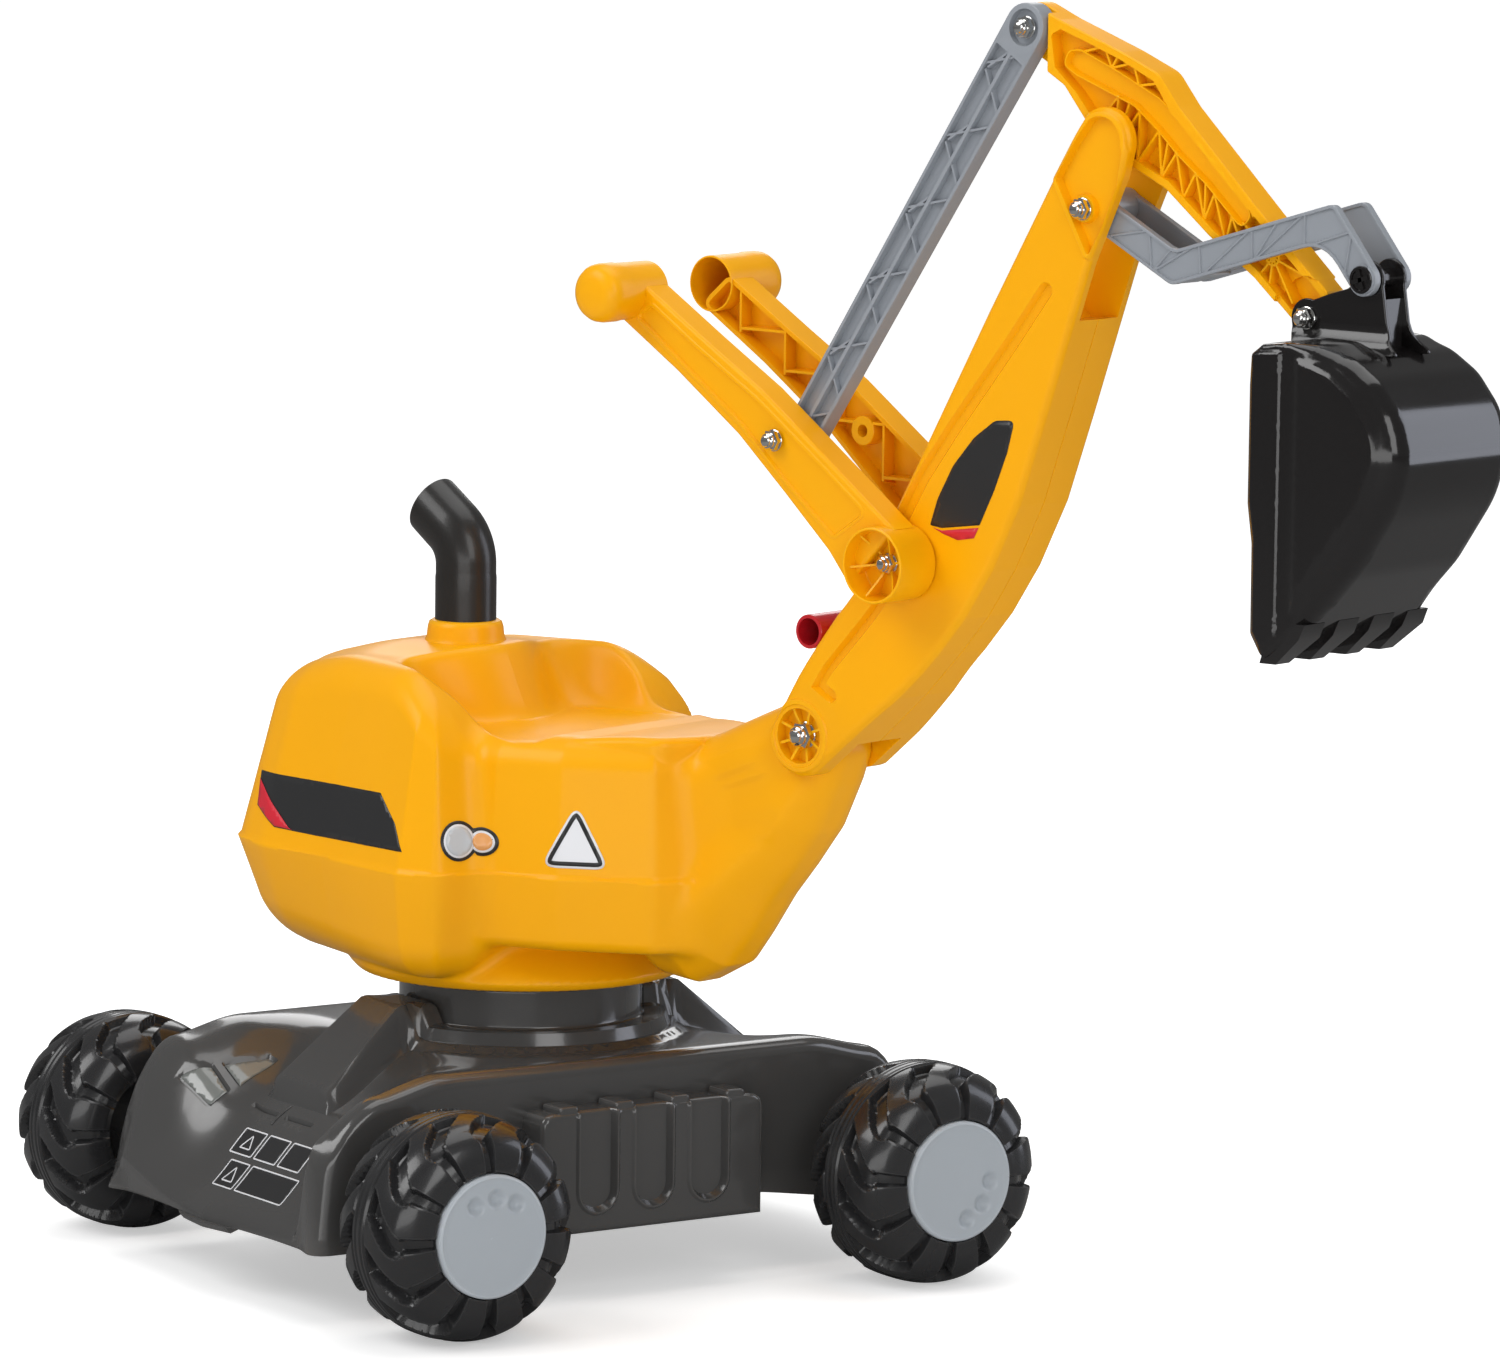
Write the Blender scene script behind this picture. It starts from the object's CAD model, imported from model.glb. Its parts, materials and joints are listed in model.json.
"""Looks for the ride on toy digger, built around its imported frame.

Lengths in the tables are millimetres, measured from the slew axis on the ground, with +X towards the
boom. make_piece turns them into metres in the frame's own axes, with every joint at rest.
"""

import json
import math

import bmesh
import bpy
import numpy as np
from mathutils import Matrix, Vector
from mathutils.bvhtree import BVHTree
from mathutils.geometry import delaunay_2d_cdt


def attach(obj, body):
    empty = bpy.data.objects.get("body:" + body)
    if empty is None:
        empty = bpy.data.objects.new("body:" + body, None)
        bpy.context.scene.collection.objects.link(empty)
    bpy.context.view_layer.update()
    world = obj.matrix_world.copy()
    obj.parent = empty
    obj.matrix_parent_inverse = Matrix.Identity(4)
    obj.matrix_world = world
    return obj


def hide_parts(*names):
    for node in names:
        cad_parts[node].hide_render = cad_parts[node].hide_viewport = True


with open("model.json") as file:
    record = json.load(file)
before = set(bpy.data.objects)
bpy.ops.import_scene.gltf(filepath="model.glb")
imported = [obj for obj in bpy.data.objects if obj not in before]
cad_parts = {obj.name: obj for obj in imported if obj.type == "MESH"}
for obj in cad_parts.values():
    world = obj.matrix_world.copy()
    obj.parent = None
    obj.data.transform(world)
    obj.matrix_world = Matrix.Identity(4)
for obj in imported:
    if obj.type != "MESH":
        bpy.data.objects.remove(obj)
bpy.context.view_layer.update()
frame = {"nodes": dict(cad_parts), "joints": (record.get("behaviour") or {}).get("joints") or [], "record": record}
PIVOT = {j["name"]: np.array(j["pos_m"]) * 1000 for j in frame["joints"]}
SLEW = np.array([PIVOT["slew"][0], PIVOT["slew"][1], 0.0])
SPIN = next(j["axis"] for j in frame["joints"] if j["name"] == "wheel_spin_front_left")
BASE_TURN = math.atan2(-SPIN[0], SPIN[1])
MERGE, FILM, DECK_WALL = 0.000003, 0.00012, 0.0032  # metres
SIDES = ((-1, "right"), (1, "left"))


# ---- materials ----
def wire(tree, node, inputs):
    """Set a node's inputs: each value is a number or colour, or the output socket that feeds the input."""
    for key, value in inputs.items():
        if isinstance(value, bpy.types.NodeSocket):
            tree.links.new(value, node.inputs[key])
        else:
            node.inputs[key].default_value = value


def add_node(tree, kind, inputs=None, **settings):
    node = tree.nodes.new("ShaderNode" + kind)
    for key, value in settings.items():
        setattr(node, key, value)
    wire(tree, node, inputs or {})
    return node


def node_material(name, color, roughness=0.3, metallic=0.0, coat=0.0, bump=0.02, mottle=0.05, sub=0.0,
        wear=0.0, wear_color=None, spec=0.5):
    """Moulded plastic or metal: fine grain in bump, slow mottling in colour and roughness, worn edges."""
    mat = bpy.data.materials.new(name)
    mat.use_nodes = True
    tree = mat.node_tree
    shader = tree.nodes["Principled BSDF"]
    wire(tree, shader, {"Roughness": roughness, "Metallic": metallic, "Coat Weight": coat,
        "Coat Roughness": 0.08, "Specular IOR Level": spec})
    if sub:
        wire(tree, shader, {"Subsurface Weight": sub, "Subsurface Radius": (0.012, 0.006, 0.002),
            "Subsurface Scale": 0.25})
    where = add_node(tree, "TexCoord").outputs["Object"]
    slow = add_node(tree, "TexNoise", {"Scale": 14.0, "Detail": 3.0, "Vector": where}).outputs["Fac"]
    fine = add_node(tree, "TexNoise", {"Scale": 900.0, "Detail": 2.0, "Vector": where}).outputs["Fac"]
    shade = add_node(tree, "MapRange", {"To Min": 1.0 - mottle, "To Max": 1.0 + mottle, "Value": slow})
    tint = add_node(tree, "VectorMath", {0: color, "Scale": shade.outputs["Result"]}, operation="SCALE")
    base = tint.outputs["Vector"]
    if wear:
        crest = add_node(tree, "NewGeometry").outputs["Pointiness"]
        edge = add_node(tree, "MapRange", {"From Min": 0.52, "From Max": 0.62, "To Max": wear,
            "Value": crest})
        mix = add_node(tree, "Mix", {"A": base, "B": (*wear_color, 1.0), "Factor": edge.outputs["Result"]},
            data_type="RGBA")
        base = mix.outputs["Result"]
    rough = add_node(tree, "MapRange", {"To Min": roughness * 0.8, "To Max": roughness * 1.25, "Value": slow})
    bumped = add_node(tree, "Bump", {"Strength": bump, "Distance": 0.0004, "Height": fine})
    wire(tree, shader, {"Base Color": base, "Roughness": rough.outputs["Result"],
        "Normal": bumped.outputs["Normal"]})
    return mat


YELLOW = node_material("yellow_moulding", (0.89, 0.395, 0.0004), 0.32, coat=0.03, bump=0.05, sub=0.04,
    spec=0.2, mottle=0.03, wear=0.5, wear_color=(0.93, 0.50, 0.003))
DARK = node_material("dark_grey_moulding", (0.056, 0.055, 0.054), 0.17, coat=0.6, bump=0.08, mottle=0.08,
    wear=0.5, wear_color=(0.13, 0.125, 0.12))
TYRE = node_material("tyre_moulding", (0.018, 0.018, 0.019), 0.26, coat=0.45, bump=0.1, mottle=0.12,
    wear=0.6, wear_color=(0.07, 0.07, 0.07))
BLACK = node_material("black_moulding", (0.009, 0.008, 0.008), 0.15, coat=0.35, bump=0.05, mottle=0.1)
ARM = node_material("arm_grey_moulding", (0.265, 0.285, 0.315), 0.33, coat=0.2, bump=0.08, mottle=0.05,
    wear=0.4, wear_color=(0.36, 0.38, 0.41))
CAP = node_material("hub_cap_grey", (0.36, 0.395, 0.43), 0.34, coat=0.15, bump=0.06, mottle=0.02, wear=0.8,
    wear_color=(0.72, 0.76, 0.8))
RED = node_material("red_moulding", (0.50, 0.010, 0.018), 0.28, coat=0.4, bump=0.05)
CHROME = node_material("bright_plating", (0.78, 0.78, 0.76), 0.12, metallic=1.0, bump=0.02, mottle=0.03)
ZINC = node_material("zinc_plating", (0.62, 0.62, 0.60), 0.3, metallic=1.0, bump=0.15, mottle=0.08)
NATURAL = node_material("natural_ring", (0.75, 0.74, 0.70), 0.45, bump=0.08)
PIPE = node_material("pipe_moulding", (0.017, 0.016, 0.015), 0.30, coat=0.15, bump=0.12, mottle=0.15)
STICKER = node_material("sticker_dark", (0.022, 0.022, 0.023), 0.33, coat=0.1, bump=0.03)
STICKER_RED = node_material("sticker_red", (0.62, 0.012, 0.03), 0.33, coat=0.2, bump=0.03)
STICKER_PALE = node_material("sticker_pale", (0.72, 0.73, 0.76), 0.3, coat=0.2, bump=0.03)
GLAZED = node_material("glazed_recess", (0.17, 0.18, 0.172), 0.12, coat=0.8, bump=0.03)
STICKER_LAMP = node_material("sticker_lamp", (0.52, 0.55, 0.58), 0.2, coat=0.6, bump=0.05)
STICKER_AMBER = node_material("sticker_amber", (0.78, 0.36, 0.12), 0.2, coat=0.6, bump=0.05)
SLOT_MATERIAL = {"chassis_plastic": DARK, "ring_plastic": NATURAL, "zinc_steel": ZINC,
    "bolt_chrome": CHROME, "wheel_plastic": TYRE, "cap_plastic": CAP, "yellow_plastic": YELLOW,
    "black_plastic": BLACK, "arm_plastic": ARM, "red_plastic": RED}
SLOT_OF = {s["node"]: s["material_slot"] for s in frame["record"]["subparts"]}
for node_name, cad_node in frame["nodes"].items():
    cad_node.data.materials.clear()
    cad_node.data.materials.append(SLOT_MATERIAL[SLOT_OF[node_name]])


# ---- mesh helpers ----
def linked(name, data):
    obj = bpy.data.objects.new(name, data)
    bpy.context.scene.collection.objects.link(obj)
    return obj


def mesh_object(name, points, faces, merge):
    """A mesh object with close points merged, no loose points and its faces turned outwards."""
    mesh = bpy.data.meshes.new(name)
    mesh.from_pydata(np.asarray(points).tolist(), [], faces)
    mesh.validate()
    bm = bmesh.new()
    bm.from_mesh(mesh)
    bmesh.ops.remove_doubles(bm, verts=bm.verts, dist=merge)
    bmesh.ops.delete(bm, geom=[v for v in bm.verts if not v.link_faces], context="VERTS")
    bmesh.ops.recalc_face_normals(bm, faces=bm.faces)
    bm.to_mesh(mesh)
    bm.free()
    return linked(name, mesh)


def even_normals(obj):
    obj.modifiers.new("even_normals", "WEIGHTED_NORMAL").keep_sharp = True


def add_wall(obj, name, thickness):
    wall = obj.modifiers.new(name, "SOLIDIFY")
    wall.thickness, wall.offset = thickness, -1.0


def make_piece(name, verts, faces, material, body, replaced=(), sharp=38, slot=None, weight=True):
    """A mesh from millimetre points, smooth shaded with sharp corners kept, riding on a body."""
    obj = mesh_object(name, (np.asarray(verts, float) + SLEW) / 1000, faces, MERGE)
    mesh = obj.data
    mesh.polygons.foreach_set("use_smooth", [True] * len(mesh.polygons))
    mesh.set_sharp_from_angle(angle=math.radians(sharp))
    if weight:
        even_normals(obj)
    mesh.materials.append(material)
    if replaced:
        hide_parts(*replaced)
    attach(obj, body)
    return obj


def outline_distance(p, outline):
    """Signed distance of points (N, 2) from a closed outline, negative inside."""
    best = np.full(len(p), 1e18)
    inside = np.zeros(len(p), bool)
    for i in range(len(outline)):
        a, b = np.array(outline[i - 1], float), np.array(outline[i], float)
        e = b - a
        length = e @ e
        if length < 1e-12:
            continue
        w = p - a
        t = np.clip((w @ e) / length, 0, 1)
        d = w - t[:, None] * e
        best = np.minimum(best, (d * d).sum(1))
        cross = (a[1] > p[:, 1]) != (b[1] > p[:, 1])
        if abs(e[1]) > 1e-12:
            inside ^= cross & (p[:, 0] < a[0] + e[0] * (p[:, 1] - a[1]) / e[1])
    return np.sqrt(best) * np.where(inside, -1.0, 1.0)


def arc(centre, radius, start, end, steps):
    return [(centre[0] + radius * math.cos(math.radians(start + (end - start) * i / steps)), centre[1]
        + radius * math.sin(math.radians(start + (end - start) * i / steps))) for i in range(steps + 1)]


def circle(centre, radius, steps=40):
    return arc(centre, radius, 0, 360 - 360 / steps, steps - 1)


def box_loop(x0, x1, y0, y1):
    return [(x0, y0), (x1, y0), (x1, y1), (x0, y1)]


def rounded(points, radius, steps=4):
    """Outline with its corners rounded; radius may be one number or one a corner."""
    out = []
    n = len(points)
    for i in range(n):
        r = radius[i] if isinstance(radius, (list, tuple)) else radius
        a, b, c = (Vector(points[(i + k) % n]) for k in (-1, 0, 1))
        u, v = (a - b), (c - b)
        if r <= 0 or u.length < 1e-9 or v.length < 1e-9:
            out.append(tuple(b))
            continue
        turn = u.angle(v)
        cut = min(r / math.tan(turn / 2), u.length * 0.49, v.length * 0.49) if turn < 3.13 else 0
        if cut < 0.05:
            out.append(tuple(b))
            continue
        start, end = b + u.normalized() * cut, b + v.normalized() * cut
        for k in range(steps + 1):
            t = k / steps
            q = start * (1 - t) ** 2 + b * 2 * t * (1 - t) + end * t * t
            out.append(tuple(q))
    return out


def inset(points, distance):
    """Outline moved inwards by a mitred distance (outwards when negative)."""
    area = sum(points[i - 1][0] * points[i][1] - points[i][0] * points[i - 1][1] for i in range(len(points)))
    side = 1 if area > 0 else -1
    out = []
    n = len(points)
    for i in range(n):
        a, b, c = (Vector(points[(i + k) % n]) for k in (-1, 0, 1))
        u, v = (b - a).normalized(), (c - b).normalized()
        nu, nv = Vector((-u.y, u.x)) * side, Vector((-v.y, v.x)) * side
        m = (nu + nv)
        if m.length < 1e-6:
            m = nu
        m.normalize()
        out.append(tuple(b + m * distance / max(0.35, m.dot(nu))))
    return out


def smoothstep(x, low, high):
    t = np.clip((x - low) / (high - low), 0, 1)
    return t * t * (3 - 2 * t)


def bridge(a, b, around):
    """Quads between two rings of `around` points that start at numbers a and b."""
    return [[a + k, a + (k + 1) % around, b + (k + 1) % around, b + k] for k in range(around)]


def ring_faces(rings, around, first=0):
    return [quad for i in range(first, rings - 1) for quad in bridge(i * around, (i + 1) * around, around)]


def turned_mesh(profile, sides, axis_point, axis, closed=True):
    """Vertices and faces of a profile (radius, height) turned about an axis through axis_point."""
    axis = np.array(axis, float) / np.linalg.norm(axis)
    side = np.cross(axis, [0.0, 0.0, 1.0])
    if np.linalg.norm(side) < 0.1:
        side = np.array([1.0, 0.0, 0.0])
    side /= np.linalg.norm(side)
    other = np.cross(axis, side)
    prof = np.array(profile, float)
    ang = np.arange(sides) * 2 * math.pi / sides
    ring = np.cos(ang)[:, None] * side + np.sin(ang)[:, None] * other
    verts = np.asarray(axis_point, float) + prof[:, None, 0, None] * ring[None] + prof[:, None, 1,
        None] * axis
    verts = verts.reshape(-1, 3)
    n, faces = len(prof), []
    for i in range(n if closed else n - 1):
        j = (i + 1) % n
        for k in range(sides):
            m = (k + 1) % sides
            quad = [i * sides + k, i * sides + m, j * sides + m, j * sides + k]
            if prof[i, 0] < 1e-6:
                quad = [i * sides, j * sides + m, j * sides + k]
            elif prof[j, 0] < 1e-6:
                quad = [i * sides + k, i * sides + m, j * sides]
            if not (prof[i, 0] < 1e-6 and prof[j, 0] < 1e-6):
                faces.append(quad)
    return verts, faces


def merged(*parts):
    verts, faces, base = [], [], 0
    for v, f in parts:
        verts.append(np.asarray(v, float))
        faces += [[i + base for i in face] for face in f]
        base += len(v)
    return np.concatenate(verts), faces


def triangulate_outline(outline, loops=(), spacing=4.0, holes=()):
    """2-D triangles filling an outline, with the given extra loops kept as edges and an even grid inside."""
    pts, edges = [], []
    for loop in [outline, *loops, *holes]:
        base = len(pts)
        for i in range(len(loop)):
            a, b = np.array(loop[i]), np.array(loop[(i + 1) % len(loop)])
            steps = max(1, int(np.linalg.norm(b - a) / spacing))
            pts += [Vector(a + (b - a) * k / steps) for k in range(steps)]
        edges += [(i, i + 1) for i in range(base, len(pts) - 1)] + [(len(pts) - 1, base)]
    fixed = np.array([tuple(p) for p in pts])
    lo, hi = fixed.min(0), fixed.max(0)
    xs = np.arange(lo[0] + spacing / 2, hi[0], spacing)
    ys = np.arange(lo[1] + spacing / 2, hi[1], spacing * 0.87)
    gx, gy = np.meshgrid(xs, ys)
    gx = gx + (np.arange(len(ys)) % 2)[:, None] * spacing / 2
    grid = np.stack([gx.ravel(), gy.ravel()], 1)
    keep = outline_distance(grid, outline) < -spacing * 0.45
    for loop in [*loops, *holes]:
        keep &= np.abs(outline_distance(grid, loop)) > spacing * 0.35
    for hole in holes:
        keep &= outline_distance(grid, hole) > 0
    pts += [Vector(p) for p in grid[keep]]
    verts, _, faces, _, _, _ = delaunay_2d_cdt(pts, edges, [], 0, 0.01)
    v = np.array([tuple(p) for p in verts])
    f = np.array([list(t) for t in faces if len(t) == 3])
    centre = v[f].mean(1)
    ok = outline_distance(centre, outline) < 0
    for hole in holes:
        ok &= outline_distance(centre, hole) > 0
    a, b, c = v[f[:, 0]], v[f[:, 1]], v[f[:, 2]]
    area = (b[:, 0] - a[:, 0]) * (c[:, 1] - a[:, 1]) - (c[:, 0] - a[:, 0]) * (b[:, 1] - a[:, 1])
    ok &= np.abs(area) > 1e-7
    f, area = f[ok], area[ok]
    f[area < 0] = f[area < 0][:, ::-1]
    return v, f


ROUND_STEPS = (0.12, 0.35, 0.65, 1.0)


def relief_heights(v, outline, features, edge):
    """Height at each 2-D point: rounded towards the outline, plus each (loop, depth, wall) feature."""
    t = np.clip(np.maximum(0.0, -outline_distance(v, outline)) / edge, 0, 1)
    h = -edge * (1 - np.sqrt(np.maximum(0.0, 1 - (1 - t) ** 2)))
    for loop, depth, wall in features:
        h = h + depth * smoothstep(-outline_distance(v, loop), 0.0, wall)
    return h


def segment_distance(p, a, b):
    a, b = np.array(a, float), np.array(b, float)
    e = b - a
    t = np.clip((p - a) @ e / (e @ e), 0, 1)
    return np.linalg.norm(p - a - t[:, None] * e, axis=1)


def rib_loop(a, b, half):
    a, b = Vector(a), Vector(b)
    along_rib = (b - a).normalized()
    n = Vector((-along_rib.y, along_rib.x)) * half
    return [tuple(a - n), tuple(b - n), tuple(b + n), tuple(a + n)]


def relief_plate(outline, front, back, thickness, edge=1.2, spacing=4.0, back_edge=None, ribs=(),
        back_ribs=(), shift=None, front_shift=None, soft=None):
    """A plate in (u, v) with reliefs and ribs on both faces. Returns points (u, v, w): w 0 is the front
    face and w = thickness the back one. A rib is (start, end, half width, crest height)."""
    back_edge = edge if back_edge is None else back_edge
    spacing = spacing
    steps = ROUND_STEPS if soft is None else np.linspace(0.04, 1.0, 11)
    loops = [inset(outline, e * s) for e in sorted({edge, back_edge}) for s in steps]
    for loop, _, wall in list(front) + list(back):
        loops += [loop, inset(loop, wall * 0.5), inset(loop, wall)]
    for a, b, half, _ in list(ribs) + list(back_ribs):
        loops += [rib_loop(a, b, half), rib_loop(a, b, half + 0.45)]
    v, f = triangulate_outline(outline, loops, spacing)
    heights = []
    for features, e, fins in ((front, edge, ribs), (back, back_edge, back_ribs)):
        h = relief_heights(v, outline, features, e if soft is None else soft(v))
        for a, b, half, crest in fins:
            h = np.maximum(h, crest - 30 * np.maximum(0, segment_distance(v, a, b) - half))
        heights.append(h)
    near, far = -heights[0], thickness + heights[1]
    if front_shift is not None:
        near = near + front_shift(v)
    if shift is not None:
        near, far = near + shift(v), far + shift(v)
    n = len(v)
    verts = np.concatenate([np.column_stack([v, near]), np.column_stack([v, far])])
    faces = [list(t[::-1]) for t in f.tolist()] + [[i + n for i in t] for t in f.tolist()]
    directed = {(t[k], t[(k + 1) % 3]) for t in f.tolist() for k in range(3)}
    faces += [[a, b, b + n, a + n] for a, b in directed if (b, a) not in directed]
    return verts, faces


def boundary(faces):
    """The outer boundary of a triangulation, as an ordered list of vertex numbers."""
    directed = {(int(t[k]), int(t[(k + 1) % 3])): None for t in faces for k in range(3)}
    left = {a: b for a, b in directed if (b, a) not in directed}
    best = []
    while left:
        loop, at = [], next(iter(left))
        while at in left:
            loop.append(at)
            at = left.pop(at)
        best = max(best, loop, key=len)
    return best


def standing(outline, face, side, thickness, front=(), back=(), **options):
    """Relief plate stood in the X-Z plane: its front lies at the outward height `face` on one side of the
    middle, and its thickness runs towards the middle."""
    p, faces = relief_plate(outline, front, back, thickness, **options)
    return np.column_stack([p[:, 0], side * face - side * p[:, 2], p[:, 1]]), faces


# ---- seat body ----
WAIST, EXHAUST_X = 231.0, -44.0
BULB_PLAN = [(-163, 0), (-158, 45), (-137, 86), (-105, 98), (-50, 107), (20, 121), (42, 114), (50, 88),
    (46, 0)]
BLOCK_PLAN = [(0, 88), (57, 88), (95, 76), (142, 50), (153, 28), (155, 0)]
NOSE_SIDE = [(100, 190), (110, 174), (140, 171), (162, 182.5), (174, 198), (190, 221), (206, 240),
    (223, 262), (236, 289), (242, 306), (241, 320), (232, 335), (214, 336), (181, 322), (150, 308),
    (110, 304)]


def mirrored(half):
    return half + [(x, -y) for x, y in reversed(half) if y > 0]


def slab(plan, height, radius):
    a, b = plan + radius, height + radius
    return np.hypot(np.maximum(a, 0), np.maximum(b, 0)) + np.minimum(np.maximum(a, b), 0) - radius


def smooth_min(a, b, width):
    h = np.maximum(width - np.abs(a - b), 0) / width
    return np.minimum(a, b) - h * h * width / 4


BULB_LOOP = rounded(mirrored(BULB_PLAN), [40, 60, 30, 60, 60, 9, 7, 10, 0, 0, 10, 7, 9, 60, 60, 30], 5)
BLOCK_LOOP = rounded(mirrored(BLOCK_PLAN), [0, 8, 20, 12, 12, 0, 12, 12, 20, 8, 0], 5)
PAD_LOOP = rounded(mirrored([(-40, 0), (-40, 52), (20, 66), (90, 62), (138, 42), (150, 20), (150, 0)]),
    [0, 20, 30, 30, 16, 16, 0, 16, 16, 30, 30, 20], 6)


def pad_top(x):
    return 302 + 6.0 * smoothstep(x, 46, 130)


def body_distance(p):
    """Signed distance of the seat body before its hollow is pressed in, at points (N, 3)."""
    x, y, z = p[:, 0], p[:, 1], p[:, 2]
    below, above = np.maximum(0, WAIST - z), np.maximum(0, z - WAIST)
    seam = 1.7 * smoothstep(z, WAIST - 0.5, WAIST + 0.7)
    rear = smoothstep(-x, -20, 150)
    lean = (0.19 + 0.07 * rear) * above + (0.10 + 0.28 * rear) * below + seam
    crest = 337 + 5 * (1 - smoothstep(np.abs(y), 15, 60)) - 37 * smoothstep(x, -15, 60)
    crest -= 15 * smoothstep(-x, 62, 150)
    side = outline_distance(p[:, :2], BULB_LOOP) - 3 + lean
    bulb = np.maximum(slab(side, z - crest, 17 + 3 * rear), slab(side, 170 - z, 20 + 9 * rear))
    wall = outline_distance(p[:, :2], BLOCK_LOOP) - 2 + 0.10 * above + 0.04 * below + seam
    block = np.maximum(slab(wall, z - 306, 17), slab(wall, 190 - z, 7))
    pad = np.maximum(slab(outline_distance(p[:, :2], PAD_LOOP), z - pad_top(x), 5), 270 - z)
    foot = np.maximum(slab(np.hypot(x, y) - 94 + 0.75 * np.maximum(0, z - 168), 162 - z, 8), z - 215)
    depth = outline_distance(np.column_stack([x, z]), NOSE_SIDE)
    under = (238 + 0.86 * (x - 152) - z) * 0.757
    cheek = smoothstep(x - 173 - 0.71 * (303 - z), -7, 2)
    half_width = 32 - 0.14 * np.maximum(0, x - 130) + 4 * cheek + 6 * smoothstep(under, -6, 20)
    nose = slab(depth, np.abs(y) - half_width, 7)
    nose = -smooth_min(-nose, -0.74 * (np.abs(y) - 15 + 0.9 * depth), 7)
    body = smooth_min(smooth_min(bulb, block, 12), smooth_min(foot, nose, 8), 8)
    return np.maximum(np.minimum(body, pad), 163 - z)


BODY_CENTRE, HOLLOW_ABOVE = np.array([30.0, 0.0, 236.0]), 285.0


def body_piece():
    """Shell found along rays from its middle, with the hollow of the seat pressed in from above."""
    cols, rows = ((560, 320))
    polar = np.linspace(0, math.pi, rows + 1)[1:-1]
    turn = np.arange(cols) * 2 * math.pi / cols
    rays = np.stack([np.outer(np.sin(polar), np.cos(turn)), np.outer(np.sin(polar), np.sin(turn)),
        np.outer(np.cos(polar), np.ones(cols))], 2).reshape(-1, 3)
    rays = np.concatenate([rays, [[0, 0, 1.0], [0, 0, -1.0]]])
    low, high = np.full(len(rays), 20.0), np.full(len(rays), 300.0)
    for _ in range(15):
        mid = (low + high) / 2
        out = body_distance(BODY_CENTRE + rays * mid[:, None]) > 0
        high = np.where(out, mid, high)
        low = np.where(out, low, mid)
    verts = BODY_CENTRE + rays * ((low + high) / 2)[:, None]
    span = np.abs(verts[:, 1])
    behind = -17 - 25 * np.exp(-((span - 62) / 32) ** 2) - verts[:, 0]
    beside = span - 87 - 12 * smoothstep(verts[:, 0], 20, 66)
    d = -smooth_min(-behind, -beside, 40)
    bowl = pad_top(verts[:, 0]) + 46 * smoothstep(d, -27, 5) + np.maximum(0, d - 5)
    bowl += 80 * smoothstep(verts[:, 0], 70, 120)
    pressed = smooth_min(verts[:, 2], bowl, 5)
    verts[:, 2] = np.where(verts[:, 2] > HOLLOW_ABOVE, pressed, verts[:, 2])
    n = rows - 1
    top, bottom = n * cols, n * cols + 1
    faces = ring_faces(n, cols)
    faces += [[top, j, (j + 1) % cols] for j in range(cols)]
    faces += [[bottom, (n - 1) * cols + (j + 1) % cols, (n - 1) * cols + j] for j in range(cols)]
    return verts, faces


body_mesh = body_piece()
collar = turned_mesh([(0, 318), (28, 318), (26, 338.0), (23.2, 341.2), (21.8, 344), (21.2, 349.5),
    (20.4, 352.2), (18.6, 353.4), (14.2, 353.4), (13.6, 352), (13.4, 346), (0, 346)], 72, (EXHAUST_X, 0, 0),
    (0, 0, 1), closed=False)
make_piece("seat_body", *merged(body_mesh, collar), YELLOW, "upper", ["body_shell"], sharp=50)

# ---- wheels ----
WHEEL_RADIUS, WHEEL_MID, WHEEL_HALF, HUB_RADIUS, HUB_FACE = 61.2, 176.75, 35.9, 33.4, 215.0
WHEELBASE, LUGS, LUG_DEPTH = 301.7, 12, 5.6
CORNERS = (("rear_right", -1, -1), ("rear_left", -1, 1), ("front_right", 1, -1), ("front_left", 1, 1))


def base_frame(points):
    """Points in the wheeled base's own frame, turned to where the base stands at rest."""
    p = np.asarray(points, float)
    c, s = math.cos(BASE_TURN), math.sin(BASE_TURN)
    return np.column_stack([p[:, 0] * c - p[:, 1] * s, p[:, 0] * s + p[:, 1] * c, p[:, 2]])


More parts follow.
